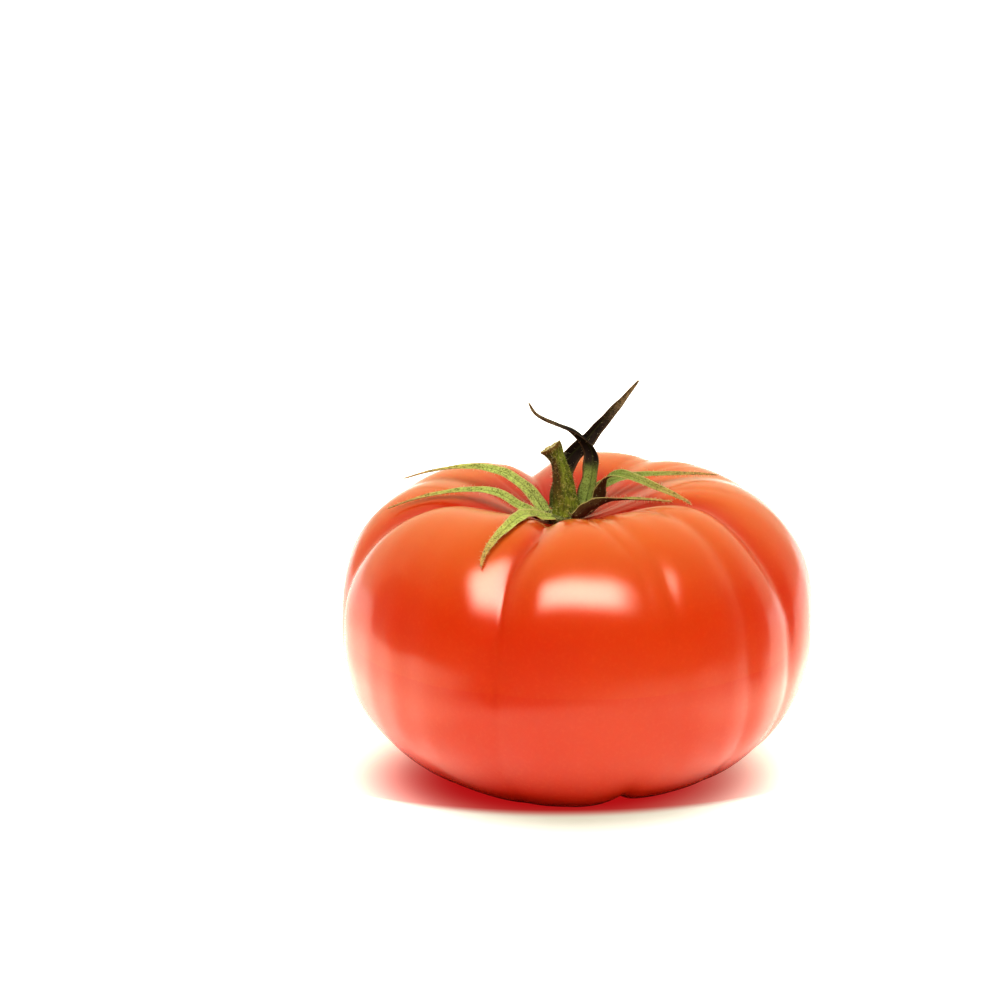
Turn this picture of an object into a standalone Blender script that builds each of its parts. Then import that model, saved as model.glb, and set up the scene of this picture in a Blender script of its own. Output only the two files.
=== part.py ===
"""A ribbed beefsteak tomato as picked: the fruit, its cut stem and a calyx of eight sepals.

The fruit rests on a small flat spot at its blossom end. The origin is the centre of that spot.
Azimuths are in degrees: 0 is the front (-Y), 90 is the right (+X). Lengths are in metres.
"""

import math

import bmesh
import bpy
from mathutils import Matrix, Vector
from mathutils.bvhtree import BVHTree

MM = 0.001
GAP = 0.3 * MM

# The fruit's body, a squashed round form that is fuller at the shoulders than at the belly
HALF_WIDTH = 45.0 * MM
RISE = 31.9 * MM
DROP = 30.8 * MM
SHOULDER_FULLNESS = 2.6
BELLY_FULLNESS = 2.4
FRONT_FULLNESS = 0.36
FLAT_DEPTH = 0.8 * MM
WIDEST_LEVEL = DROP - FLAT_DEPTH

# The hollow around the stem, which sits a little left of the middle below uneven shoulders
HOLLOW_DEPTH = 12.4 * MM
HOLLOW_RADIUS = 19.5 * MM
HOLLOW_POWER = 1.9
STEM_END_LEFT = 2.5 * MM
STEM_END_FORWARD = -0.7 * MM
RIGHT_SHOULDER_LIFT = 0.04

# Furrows between the lobes: azimuth at the shoulder and at the belly, depth as a share of the
# radius at the shoulder, belly and underside, half-width in degrees, and the latitude at which
# the shoulder's depth fades into the belly's
FURROWS = (
    (-11, -18.3, 0.080, 0.008, 0.000, 6.5, 18),
    (-80, -80, 0.100, 0.008, 0.018, 10, 20),
    (-112, -112, 0.030, 0.004, 0.008, 12, 22),
    (-164, -164, 0.155, 0.010, 0.020, 10, 22),
    (146, 146, 0.042, 0.004, 0.012, 10, 22),
    (108, 108, 0.030, 0.004, 0.010, 12, 22),
    (70, 63, 0.085, 0.008, 0.014, 9, 20),
    (46, 45, 0.028, 0.005, 0.000, 7, 16),
    (21.5, 24.5, 0.024, 0.003, 0.000, 6.5, 24),
    (12.5, 19, 0.024, 0.000, 0.000, 4, 42),
    (15, 15, 0.0, 0.0, 0.12, 8.5, 0),
)
FURROW_ROUNDING = 0.3
FADE_SOFTNESS = 9.0
BELLY_NARROWING = 0.4
SHOULDER_LATITUDE = 50.0
BELLY_LATITUDE = 25.0
UNDERSIDE_LATITUDE = -45.0
CALM_RADIUS_ABOVE = 6.0 * MM
CALM_RADIUS_BELOW = 14.0 * MM

# The mesh of the fruit: steps around and from end to end, closer together at the stem end
FRUIT_STEPS_AROUND = 90
FRUIT_STEPS_DOWN = 40
STEM_END_CROWDING = 1.25

# The hub that stem and sepals grow from, on the floor of the hollow
HUB_CENTRE = Vector((-STEM_END_LEFT, STEM_END_FORWARD))
HUB_RADIUS = 3.6 * MM
HUB_TOP = 51.5 * MM
HUB_SHOULDER = 0.9 * MM

# The stem: distance right and back of the hub's centre, height and radius, in millimetres
STEM_ROUTE = (
    (0.7, 0.0, 51.85, 2.70),
    (0.75, 0.0, 52.5, 2.50),
    (0.5, 0.1, 54.2, 2.30),
    (0.35, 0.2, 55.8, 2.12),
    (0.1, 0.4, 57.8, 1.86),
    (-0.2, 0.6, 59.4, 1.66),
    (-0.6, 0.8, 60.9, 1.48),
    (-1.1, 1.0, 62.0, 1.50),
    (-1.6, 1.1, 63.0, 1.80),
    (-2.1, 1.2, 63.9, 2.10),
)
STEM_STEPS_PER_SPAN = 2

# Sepals: widest width in millimetres and fullness, the power of the taper; then the middle
# line's points as distance out from the hub's centre in millimetres, azimuth, height in
# millimetres, and roll in degrees, which turns the upper face to the right of the way ahead
SEPALS = {
    "sepal_front_left": (3.3, 1.3, (
        (3.8, -40, 51.2, -20), (8.0, -37, 52.4, -22), (13.0, -28, 54.1, -20),
        (18.2, -22.5, 55.6, -18), (24.3, -19.8, 56.5, -16), (28.7, -20.6, 55.9, -14),
        (32.3, -22.2, 54.5, -14), (35.2, -23.0, 52.6, -14), (36.8, -22.9, 51.0, -14))),
    "sepal_left": (2.6, 0.95, (
        (4.0, -72, 50.9, -25), (8.0, -83, 52.8, -38), (12.5, -88, 55.3, -38),
        (17.7, -88, 55.9, -34), (23.2, -88, 55.3, -28), (28.0, -88, 54.2, -20),
        (32.9, -88, 52.5, -15))),
    "sepal_back_left": (2.9, 0.85, (
        (4.0, -119, 51.1, -25), (6.5, -115, 54.4, -40), (10.8, -112, 57.5, -42),
        (15.8, -112, 58.5, -36), (21.3, -112, 58.1, -28), (27.6, -112, 56.6, -15),
        (33.0, -112, 54.7, -10))),
    "sepal_upright": (4.2, 1.6, (
        (4.0, -170, 51.2, 0), (4.4, -176, 55.0, 5), (4.9, 172, 60.0, 8), (7.0, 140, 64.2, 12),
        (10.0, 127, 68.2, 16), (13.2, 122, 71.6, 20), (16.5, 119, 75.1, 25))),
    "sepal_back_right": (2.3, 1.2, (
        (4.0, 145, 51.2, 0), (7.5, 128, 54.3, 5), (11.5, 113, 56.7, 10), (16.0, 106, 57.5, 5),
        (21.0, 104, 57.5, 0), (26.0, 104, 57.2, 0), (30.5, 104, 56.7, 0))),
    "sepal_curled": (4.2, 1.1, (
        (4.2, 112, 51.2, 15), (5.4, 112, 54.8, 28), (6.3, 113, 59.2, 32), (6.4, 121, 63.0, 25),
        (3.4, 130, 66.6, 5), (1.6, -150, 68.3, 0), (4.6, -98, 70.3, 0), (6.2, -82, 72.8, 0))),
    "sepal_right": (2.9, 1.2, (
        (4.1, 77, 51.2, -40), (6.9, 73, 54.0, -50), (8.0, 69, 57.0, -38), (9.4, 67, 59.3, 2),
        (12.3, 67, 60.1, 30), (16.5, 67, 59.1, 38), (21.3, 66.5, 57.7, 36), (24.9, 65, 56.7, 25),
        (26.3, 64, 56.2, 15))),
    "sepal_front_right": (2.7, 1.2, (
        (4.0, 42, 51.2, -35), (6.0, 50, 53.2, -50), (9.0, 57, 54.8, -35), (13.5, 60, 55.8, 5),
        (18.8, 60, 56.4, 25), (23.4, 60, 56.7, 30))),
}
SEPAL_THICKNESS = 0.6 * MM
SEPAL_FOOT_SHARE = 0.55
SEPAL_SWELL_END = 0.2
SEPAL_STEPS_LONG = 20
SEPAL_STEPS_WIDE = 4
SEPAL_CUP = 0.3

SKIN_RED = (0.80, 0.055, 0.018)
STEM_GREEN = (0.13, 0.21, 0.035)
SEPAL_GREEN = (0.16, 0.25, 0.045)
DRIED_BROWN = (0.022, 0.014, 0.008)
DRIED_SEPALS = ("sepal_upright", "sepal_curled")


def clear_scene():
    """Start from an empty scene."""
    for thing in list(bpy.data.objects):
        bpy.data.objects.remove(thing, do_unlink=True)


def make_material(name, colour, roughness):
    """A plain coat of one colour."""
    material = bpy.data.materials.new(name)
    material.use_nodes = True
    shader = material.node_tree.nodes["Principled BSDF"]
    shader.inputs["Base Color"].default_value = (*colour, 1.0)
    shader.inputs["Roughness"].default_value = roughness
    shader.inputs["Metallic"].default_value = 0.0
    return material


def add_part(name, bm, material, collection):
    """Turn a bmesh into a smooth, named part."""
    bmesh.ops.recalc_face_normals(bm, faces=bm.faces)
    mesh = bpy.data.meshes.new(name)
    bm.to_mesh(mesh)
    bm.free()
    mesh.materials.append(material)
    mesh.shade_smooth()
    mesh.set_sharp_from_angle(angle=math.radians(50))
    part = bpy.data.objects.new(name, mesh)
    collection.objects.link(part)
    return part


def smooth_step(value):
    """0 below 0, 1 above 1, with an even turn between."""
    value = min(max(value, 0.0), 1.0)
    return value * value * (3.0 - 2.0 * value)


def logistic(value):
    """A soft switch from 0 to 1."""
    return 1.0 / (1.0 + math.exp(-value))


def furrow_share(azimuth, latitude):
    """The share of the distance to the fruit's middle that all furrows take here."""
    total = 0.0
    rise = smooth_step((latitude - BELLY_LATITUDE) / (SHOULDER_LATITUDE - BELLY_LATITUDE))
    underside = logistic((UNDERSIDE_LATITUDE - latitude) / FADE_SOFTNESS)
    for top, side, depth_above, depth_belly, depth_below, half_width, fade_latitude in FURROWS:
        off = (azimuth - side - (top - side) * rise + 180.0) % 360.0 - 180.0
        shoulder = logistic((latitude - fade_latitude) / FADE_SOFTNESS)
        width = half_width * max(BELLY_NARROWING + (1.0 - BELLY_NARROWING) * shoulder, underside)
        across = math.exp(FURROW_ROUNDING - math.hypot(off / width, FURROW_ROUNDING))
        depth = depth_belly + (depth_above - depth_belly) * shoulder
        total += across * (depth + (depth_below - depth_belly) * underside)
    return total


def fruit_point(azimuth, latitude):
    """A point of the skin, for a latitude of 90 at the stem and -90 at the blossom end."""
    turn = math.radians(azimuth)
    slope = math.radians(latitude)
    upper = smooth_step((latitude + 30.0) / 60.0)
    height = DROP + (RISE - DROP) * upper
    belly = BELLY_FULLNESS + FRONT_FULLNESS * max(math.cos(turn), 0.0) ** 3
    fullness = belly + (SHOULDER_FULLNESS - belly) * upper
    flat_part = abs(math.cos(slope) / HALF_WIDTH) ** fullness
    tall_part = abs(math.sin(slope) / height) ** fullness
    reach = (flat_part + tall_part) ** (-1.0 / fullness)
    out = reach * math.cos(slope)
    up = reach * math.sin(slope)
    share = furrow_share(azimuth, latitude)
    calm_radius = CALM_RADIUS_ABOVE if latitude > 0.0 else CALM_RADIUS_BELOW
    up *= 1.0 - share * (1.0 - math.exp(-((out / calm_radius) ** 2)))
    if latitude > 0.0:
        up -= HOLLOW_DEPTH * math.exp(-((out / HOLLOW_RADIUS) ** HOLLOW_POWER))
    out *= 1.0 - share
    lean = max(math.sin(slope), 0.0) ** 2
    x = out * math.sin(turn) - STEM_END_LEFT * lean
    y = -out * math.cos(turn) + STEM_END_FORWARD * lean
    z = WIDEST_LEVEL + up + RIGHT_SHOULDER_LIFT * out * math.sin(turn) * lean
    return Vector((x, y, max(z, 0.0)))


def make_fruit(material, collection):
    """A round primitive whose points are moved out to the ribbed skin."""
    bm = bmesh.new()
    bmesh.ops.create_uvsphere(
        bm, u_segments=FRUIT_STEPS_AROUND, v_segments=FRUIT_STEPS_DOWN, radius=1.0
    )
    for vert in bm.verts:
        azimuth = math.degrees(math.atan2(vert.co.x, -vert.co.y))
        way_down = math.acos(min(max(vert.co.z, -1.0), 1.0)) / math.pi
        vert.co = fruit_point(azimuth, 90.0 - 180.0 * way_down ** STEM_END_CROWDING)
    resting = [face for face in bm.faces if max(vert.co.z for vert in face.verts) <= 0.0]
    bmesh.ops.dissolve_faces(bm, faces=resting)
    surface = BVHTree.FromBMesh(bm)
    add_part("fruit", bm, material, collection)
    return surface


def height_of(surface, x, y):
    """The height of the fruit's upper skin at a place."""
    hit = surface.ray_cast(Vector((x, y, 0.2)), Vector((0.0, 0.0, -1.0)))
    return hit[0].z


def make_hub(surface, material, collection):
    """A small flat-topped boss whose underside follows the floor of the hollow."""
    bm = bmesh.new()
    bmesh.ops.create_uvsphere(bm, u_segments=28, v_segments=12, radius=1.0)
    for vert in bm.verts:
        level = vert.co.z
        x = HUB_CENTRE.x + vert.co.x * HUB_RADIUS
        y = HUB_CENTRE.y + vert.co.y * HUB_RADIUS
        rim = HUB_TOP - HUB_SHOULDER
        floor = height_of(surface, x, y) + GAP
        if level >= 0.0:
            vert.co = Vector((x, y, rim + HUB_SHOULDER * level ** 0.5))
        else:
            vert.co = Vector((x, y, rim + (floor - rim) * (-level) ** 0.5))
    add_part("calyx_base", bm, material, collection)


def spline_point(points, position):
    """A point on the smooth curve through all the points, for a position from 0 to 1."""
    spans = len(points) - 1
    span = min(int(position * spans), spans - 1)
    t = position * spans - span
    before = points[span - 1] if span > 0 else points[0] * 2 - points[1]
    after = points[span + 2] if span + 2 <= spans else points[-1] * 2 - points[-2]
    start, end = points[span], points[span + 1]
    swing = start * 2 + (end - before) * t
    bend = (before * 2 - start * 5 + end * 4 - after) * t ** 2
    close = (start * 3 - before - end * 3 + after) * t ** 3
    return (swing + bend + close) * 0.5


def make_stem(material, collection):
    """A leaning tube with a flared foot and a swollen knuckle at its oblique broken end."""
    points = [
        Vector(((HUB_CENTRE.x / MM + right), (HUB_CENTRE.y / MM + back), height, radius))
        for right, back, height, radius in STEM_ROUTE
    ]
    steps = STEM_STEPS_PER_SPAN * (len(points) - 1)
    curve = bpy.data.curves.new("stem_route", "CURVE")
    curve.dimensions = "3D"
    curve.bevel_depth = MM
    curve.bevel_resolution = 4
    curve.use_fill_caps = True
    route = curve.splines.new("POLY")
    route.points.add(steps)
    for step in range(steps + 1):
        place = spline_point(points, step / steps)
        route.points[step].co = (place.x * MM, place.y * MM, place.z * MM, 1.0)
        route.points[step].radius = place.w
    guide = bpy.data.objects.new("stem_route", curve)
    collection.objects.link(guide)
    evaluated = guide.evaluated_get(bpy.context.evaluated_depsgraph_get())
    mesh = bpy.data.meshes.new_from_object(evaluated)
    bm = bmesh.new()
    bm.from_mesh(mesh)
    bmesh.ops.remove_doubles(bm, verts=bm.verts, dist=0.01 * MM)
    bpy.data.objects.remove(guide, do_unlink=True)
    bpy.data.meshes.remove(mesh)
    add_part("stem", bm, material, collection)


def blade_half_width(along, widest, fullness):
    """Half the sepal's width: narrow foot, widest near a fifth of the way, long fine tip."""
    swell = SEPAL_FOOT_SHARE + (1.0 - SEPAL_FOOT_SHARE) * smooth_step(along / SEPAL_SWELL_END)
    past_widest = max((along - SEPAL_SWELL_END) / (1.0 - SEPAL_SWELL_END), 0.0)
    return 0.5 * widest * swell * (1.0 - 0.9 * past_widest ** fullness)


def sepal_frames(points):
    """Places along the middle line, the way ahead, and the side, carried along and rolled."""
    stations = [spline_point(points, step / SEPAL_STEPS_LONG) for step in range(SEPAL_STEPS_LONG + 1)]
    places = [station.to_3d() for station in stations]
    out = (places[0] - HUB_CENTRE.to_3d()).to_2d().normalized()
    side = Vector((-out.y, out.x, 0.0))
    frames = []
    for step, place in enumerate(places):
        before = places[max(step - 1, 0)]
        after = places[min(step + 1, SEPAL_STEPS_LONG)]
        ahead = (after - before).normalized()
        side = (side - ahead * side.dot(ahead)).normalized()
        frames.append((place, ahead, Matrix.Rotation(stations[step].w, 3, ahead) @ side))
    return frames


def make_sepal(name, material, collection):
    """A grid bent along the sepal's middle line, cupped across and thickened."""
    widest, fullness, route = SEPALS[name]
    points = []
    for out, azimuth, height, roll in route:
        turn = math.radians(azimuth)
        x = HUB_CENTRE.x + out * MM * math.sin(turn)
        y = HUB_CENTRE.y - out * MM * math.cos(turn)
        points.append(Vector((x, y, height * MM, math.radians(roll))))
    frames = sepal_frames(points)
    bm = bmesh.new()
    bmesh.ops.create_grid(bm, x_segments=SEPAL_STEPS_LONG, y_segments=SEPAL_STEPS_WIDE, size=1.0)
    for vert in bm.verts:
        along = (vert.co.x + 1.0) / 2.0
        across = vert.co.y
        place, ahead, side = frames[round(along * SEPAL_STEPS_LONG)]
        half = blade_half_width(along, widest * MM, fullness)
        lift = half * SEPAL_CUP * across ** 2
        vert.co = place + side * across * half + ahead.cross(side) * lift
    part = add_part(name, bm, material, collection)
    skin = part.modifiers.new("thickness", "SOLIDIFY")
    skin.thickness = SEPAL_THICKNESS
    skin.offset = 0.0
    return part


def main():
    clear_scene()
    tomato = bpy.data.collections.new("beefsteak_tomato")
    bpy.context.scene.collection.children.link(tomato)
    skin = make_material("tomato_skin", SKIN_RED, 0.25)
    stem_green = make_material("stem_green", STEM_GREEN, 0.6)
    sepal_green = make_material("sepal_green", SEPAL_GREEN, 0.6)
    dried = make_material("dried_sepal", DRIED_BROWN, 0.75)
    surface = make_fruit(skin, tomato)
    make_hub(surface, stem_green, tomato)
    make_stem(stem_green, tomato)
    for name in SEPALS:
        make_sepal(name, dried if name in DRIED_SEPALS else sepal_green, tomato)


main()
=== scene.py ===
"""The look of a ribbed beefsteak tomato with its green top: skin, stem, hub and eight sepals.

Azimuths are in degrees: 0 is the front (-Y), 90 is the right (+X). Latitudes run from 90 at the
stem to -90 at the blossom end. Lengths are in metres where a comment doesn't say millimetres.
"""
import math

import bmesh
import bpy
import numpy as np
from mathutils import Matrix, Vector


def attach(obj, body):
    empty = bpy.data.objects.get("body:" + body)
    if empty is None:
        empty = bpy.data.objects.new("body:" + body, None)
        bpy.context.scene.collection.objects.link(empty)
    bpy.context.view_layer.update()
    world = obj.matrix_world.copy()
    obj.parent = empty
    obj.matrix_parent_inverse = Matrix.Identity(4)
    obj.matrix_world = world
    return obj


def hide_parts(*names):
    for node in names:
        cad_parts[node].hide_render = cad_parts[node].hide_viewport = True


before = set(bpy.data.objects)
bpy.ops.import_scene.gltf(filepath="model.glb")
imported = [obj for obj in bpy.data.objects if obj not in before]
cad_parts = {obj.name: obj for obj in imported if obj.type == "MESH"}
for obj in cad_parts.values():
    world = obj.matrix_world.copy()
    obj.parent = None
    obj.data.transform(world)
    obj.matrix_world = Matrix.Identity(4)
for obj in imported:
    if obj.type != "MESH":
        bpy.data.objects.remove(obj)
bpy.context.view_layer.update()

MM = 0.001

# The fruit's body, a squashed round form that is fuller at the shoulders than at the belly. The
# lower form turns into the upper one between the same latitude below and above the middle
HALF_WIDTH = 45.0 * MM
RISE = 31.9 * MM
DROP = 30.8 * MM
SHOULDER_FULLNESS = 2.6
BELLY_FULLNESS = 2.4
FRONT_FULLNESS = 0.36
FORM_CHANGE_LATITUDE = 30.0
FLAT_DEPTH = 0.8 * MM
WIDEST_LEVEL = DROP - FLAT_DEPTH

# The hollow around the stem
HOLLOW_DEPTH = 12.4 * MM
HOLLOW_RADIUS = 19.5 * MM
HOLLOW_POWER = 1.9
STEM_END_LEFT = 2.5 * MM
STEM_END_FORWARD = -0.7 * MM
RIGHT_SHOULDER_LIFT = 0.04

# Furrows between the lobes: azimuth at the shoulder and at the belly, depth as a share of the
# radius at the shoulder, belly and underside, half-width in degrees, and the latitude at which
# the shoulder's depth fades into the belly's
FURROWS = (
    (-11, -18.3, 0.080, 0.008, 0.000, 6.5, 18),
    (-80, -80, 0.100, 0.008, 0.018, 10, 20),
    (-112, -112, 0.030, 0.004, 0.008, 12, 22),
    (-164, -164, 0.155, 0.010, 0.020, 10, 22),
    (146, 146, 0.042, 0.004, 0.012, 10, 22),
    (108, 108, 0.030, 0.004, 0.010, 12, 22),
    (70, 63, 0.085, 0.008, 0.014, 9, 20),
    (46, 45, 0.028, 0.005, 0.000, 7, 16),
    (21.5, 24.5, 0.024, 0.003, 0.000, 6.5, 24),
    (12.5, 19, 0.024, 0.000, 0.000, 4, 42),
    (15, 15, 0.0, 0.0, 0.12, 8.5, 0),
)

# How round a furrow's bottom is, how many degrees its depth fades over, and the share of its
# width that it keeps at the belly
FURROW_ROUNDING = 0.3
FADE_SOFTNESS = 9.0
BELLY_NARROWING = 0.4

# A furrow's azimuth moves between the first two latitudes, and its underside lies below the third
SHOULDER_LATITUDE = 50.0
BELLY_LATITUDE = 25.0
UNDERSIDE_LATITUDE = -45.0

# Nearer to the fruit's axis than this, furrows hardly change the skin's height
CALM_RADIUS_ABOVE = 6.0 * MM
CALM_RADIUS_BELOW = 14.0 * MM

# Small wrinkles that run into the hollow, with depths as a share of the radius
WRINKLE_COUNT = 26
WRINKLE_HALF_WIDTHS = (2.0, 4.0)
WRINKLE_DEPTHS = (0.001, 0.007)
WRINKLE_LATITUDE = 44.0
WRINKLE_END_SPREAD = (-9.0, 7.0)
WRINKLE_SOFTNESS = 4.0
WRINKLE_SEED = 3

# Faint upright ribs, in sets of so many around the fruit
RIB_SETS = (9, 13, 17, 22, 29, 37)
RIB_HEIGHT = 0.035 * MM
RIB_STRENGTHS = (0.5, 1.0)
RIB_SEED = 4

# The unevenness of the flesh, with the waves' lengths in millimetres
LUMP_COUNT = 14
LUMP_LENGTHS = (14.0, 40.0)
LUMP_HEIGHT = 0.05 * MM
LUMP_SEED = 5

# The skin's mesh, with rows crowded towards the stem, and where its colour takes a furrow as
# full and a place as near the stem
SKIN_STEPS_AROUND = 384
SKIN_STEPS_DOWN = 180
STEM_END_CROWDING = 1.25
FULL_GROOVE = 0.1
NEAR_STEM_RADIUS = 20.0 * MM

# The hub, with a buttress towards each sepal. The waist between the buttresses and their reach
# are shares of its radius, and their half-width is in radians
HUB_CENTRE = Vector((-STEM_END_LEFT, STEM_END_FORWARD, 0.0))
HUB_RADIUS = 3.6 * MM
HUB_TOP = 51.6 * MM
HUB_FOOT = 49.6 * MM
HUB_WAIST = 0.9
HUB_SQUARENESS = 0.7
BUTTRESS_REACH = 0.16
BUTTRESS_HALF_WIDTH = 0.24
HUB_STEPS_AROUND = 96
HUB_STEPS_DOWN = 40
HUB_SEED = 12

# The stem: distance right and back of the hub's centre, height and radius, all in millimetres
STEM_ROUTE = (
    (0.9, 0.0, 51.2, 2.95),
    (0.8, 0.0, 52.3, 2.60),
    (0.5, 0.1, 54.2, 2.32),
    (0.35, 0.2, 55.8, 2.12),
    (0.1, 0.4, 57.8, 1.86),
    (-0.2, 0.6, 59.4, 1.66),
    (-0.6, 0.8, 60.9, 1.48),
    (-1.1, 1.0, 62.0, 1.50),
    (-1.6, 1.1, 63.0, 1.80),
    (-2.1, 1.2, 63.9, 2.10),
)
STEM_RINGS = 84
STEM_SIDES = 56
STEM_SEED = 11

# The stem's ridges and roughness as shares of its radius, and the lips of its knuckle
RIDGE_COUNT = 5
RIDGE_SHARE = 0.035
RIDGE_PHASE = 1.3
FINE_RIDGE_COUNT = 11
FINE_RIDGE_SHARE = 0.02
ROUGH_SHARE = 0.02
KNUCKLE_START = 0.88
KNUCKLE_LIP = 0.3 * MM

# The broken end: how ragged and how wavy its rim is, then rings inside the rim, each with its
# share of the rim's width and its depth in millimetres
RIM_RAGGEDNESS = 0.07 * MM
RIM_WAVE = 0.06 * MM
RIM_WAVE_COUNT = 7
BREAK_RINGS = ((0.9, -0.05), (0.75, 0.2), (0.5, 0.42), (0.25, 0.5), (0.1, 0.4))

# Sepals: the widest width in millimetres, the power of the taper, and how pale the upper face
# is; then the middle line's points as distance out from the hub's centre in millimetres,
# azimuth, height in millimetres, and roll in degrees, which turns the upper face to the right
# of the way ahead
SEPALS = {
    "sepal_front_left": (3.3, 1.3, 0.9, (
        (3.8, -40, 51.2, -20), (8.0, -37, 52.4, -22), (13.0, -28, 54.1, -20),
        (18.2, -22.5, 55.6, -18), (24.3, -19.8, 56.5, -16), (28.7, -20.6, 55.9, -14),
        (32.3, -22.2, 54.5, -14), (35.2, -23.0, 52.6, -14), (36.8, -22.9, 51.0, -14))),
    "sepal_left": (2.6, 0.95, 0.8, (
        (4.0, -72, 50.9, -25), (8.0, -83, 52.8, -38), (12.5, -88, 55.3, -38),
        (17.7, -88, 55.9, -34), (23.2, -88, 55.3, -28), (28.0, -88, 54.2, -20),
        (32.9, -88, 52.5, -15))),
    "sepal_back_left": (2.9, 0.85, 0.9, (
        (4.0, -119, 51.1, -25), (6.5, -115, 54.4, -40), (10.8, -112, 57.5, -42),
        (15.8, -112, 58.5, -36), (21.3, -112, 58.1, -28), (27.6, -112, 56.6, -15),
        (33.0, -112, 54.7, -10))),
    "sepal_upright": (4.2, 1.6, 0.2, (
        (4.0, -170, 51.2, 0), (4.4, -176, 55.0, 5), (4.9, 172, 60.0, 8), (7.0, 140, 64.2, 12),
        (10.0, 127, 68.2, 16), (13.2, 122, 71.6, 20), (16.5, 119, 75.1, 25))),
    "sepal_back_right": (2.3, 1.2, 0.25, (
        (4.0, 145, 51.2, 0), (7.5, 128, 54.3, 5), (11.5, 113, 56.7, 10), (16.0, 106, 57.5, 5),
        (21.0, 104, 57.5, 0), (26.0, 104, 57.2, 0), (30.5, 104, 56.7, 0))),
    "sepal_curled": (4.2, 1.1, 0.5, (
        (4.2, 112, 51.2, 15), (5.4, 112, 54.8, 28), (6.3, 113, 59.2, 32), (6.4, 121, 63.0, 25),
        (3.4, 130, 66.6, 5), (1.6, -150, 68.3, 0), (4.6, -98, 70.3, 0), (6.2, -82, 72.8, 0))),
    "sepal_right": (2.9, 1.2, 0.2, (
        (4.1, 77, 51.2, -40), (6.9, 73, 54.0, -50), (8.0, 69, 57.0, -38), (9.4, 67, 59.3, 2),
        (12.3, 67, 60.1, 30), (16.5, 67, 59.1, 38), (21.3, 66.5, 57.7, 36), (24.9, 65, 56.7, 25),
        (26.3, 64, 56.2, 15))),
    "sepal_front_right": (2.7, 1.2, 0.2, (
        (4.0, 42, 51.2, -35), (6.0, 50, 53.2, -50), (9.0, 57, 54.8, -35), (13.5, 60, 55.8, 5),
        (18.8, 60, 56.4, 25), (23.4, 60, 56.7, 30))),
}
DRIED_SEPALS = ("sepal_upright", "sepal_curled")
FIRST_SEPAL_SEED = 20

# A sepal's blade: rings along it and points across one face, its thickness and its root
SEPAL_RINGS = 90
SEPAL_ACROSS = 13
SEPAL_THICKNESS = 0.5 * MM
SEPAL_THINNING = 0.6
SEPAL_ROOT_SHARE = 0.4
SEPAL_ROOT_DROP = 0.2 * MM

# Its outline: widths of foot and tip as shares of the widest, and where swell and taper lie
FOOT_SHARE = 0.62
SWELL_END = 0.22
TAPER_START = 0.2
TIP_SHARE = 0.1

# Its section: how far the margins roll up as a share of the half-width, how much of that there is
# at the foot and how much is added towards the tip, and the midrib, a groove above that stands out
# below by nearly its depth
GREEN_CUP = 0.38
DRIED_CUP = 0.6
CUP_AT_FOOT = 0.5
CUP_GROWTH = 0.7
MIDRIB_HALF_WIDTH = 0.22
MIDRIB_DEPTH = 0.1 * MM
MIDRIB_BELOW = 0.9

# Waves along its margins: turns in radians from foot to tip, and sizes as shares of its half-width
WAVE_TURNS = 15.0
FINE_WAVE_TURNS = 33.0
FINE_WAVE_SHARE = 0.6
WAVE_SHARE = 0.09
EDGE_TURNS = 47.0
EDGE_SHARE = 0.05

# Fine hairs: how many, the shortest and longest, and how thick
STEM_HAIRS = (600, (0.3 * MM, 0.8 * MM), 0.022 * MM)
HUB_HAIRS = (160, (0.3 * MM, 0.7 * MM), 0.035 * MM)
GREEN_SEPAL_HAIRS = (320, (0.25 * MM, 0.7 * MM), 0.022 * MM)
DRIED_SEPAL_HAIRS = (120, (0.25 * MM, 0.7 * MM), 0.022 * MM)

# A hair: how unevenly it leans and droops, and its two rings' places along it and widths, as shares
HAIR_LEAN = 0.35
HAIR_DROOP = 0.22
HAIR_RINGS = ((-0.08, 1.0), (0.5, 0.7))

# The skin's colours. The furrow, hollow and underside reds are painted shade, and the shoulder
# orange is partly painted light
RIPE_RED = (0.47, 0.030, 0.003)
RIPE_ORANGE_RED = (0.49, 0.043, 0.004)
SHOULDER_ORANGE_AND_LIGHT = (0.59, 0.132, 0.015)
FURROW_SHADE_RED = (0.46, 0.006, 0.002)
HOLLOW_SHADE_RED = (0.46, 0.008, 0.003)
UNDERSIDE_SHADE_RED = (0.42, 0.006, 0.001)
FLECK_ORANGE = (0.70, 0.14, 0.03)
CORK_BROWN = (0.30, 0.16, 0.04)
GLOSS_TINT = (1.0, 0.92, 0.78)

# The colours of the stem, the hub and the hairs
STEM_DARK_GREEN = (0.055, 0.070, 0.003)
STEM_LIGHT_GREEN = (0.16, 0.20, 0.012)
STEM_SPECKLE = (0.42, 0.40, 0.10)
# Darker olive browns that the stem takes on its left side
STEM_LEFT_DARK = (0.034, 0.016, 0.002)
STEM_LEFT_LIGHT = (0.13, 0.070, 0.014)
KNUCKLE_BROWN = (0.13, 0.050, 0.010)
PITH_DARK = (0.30, 0.24, 0.09)
PITH_LIGHT = (0.62, 0.55, 0.30)
# The hub's greens are darkened, as painted shade
HUB_SHADED_DARK_GREEN = (0.025, 0.035, 0.005)
HUB_SHADED_LIGHT_GREEN = (0.13, 0.15, 0.03)
HAIR_DARK = (0.50, 0.46, 0.18)
HAIR_LIGHT = (0.75, 0.68, 0.38)

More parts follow.
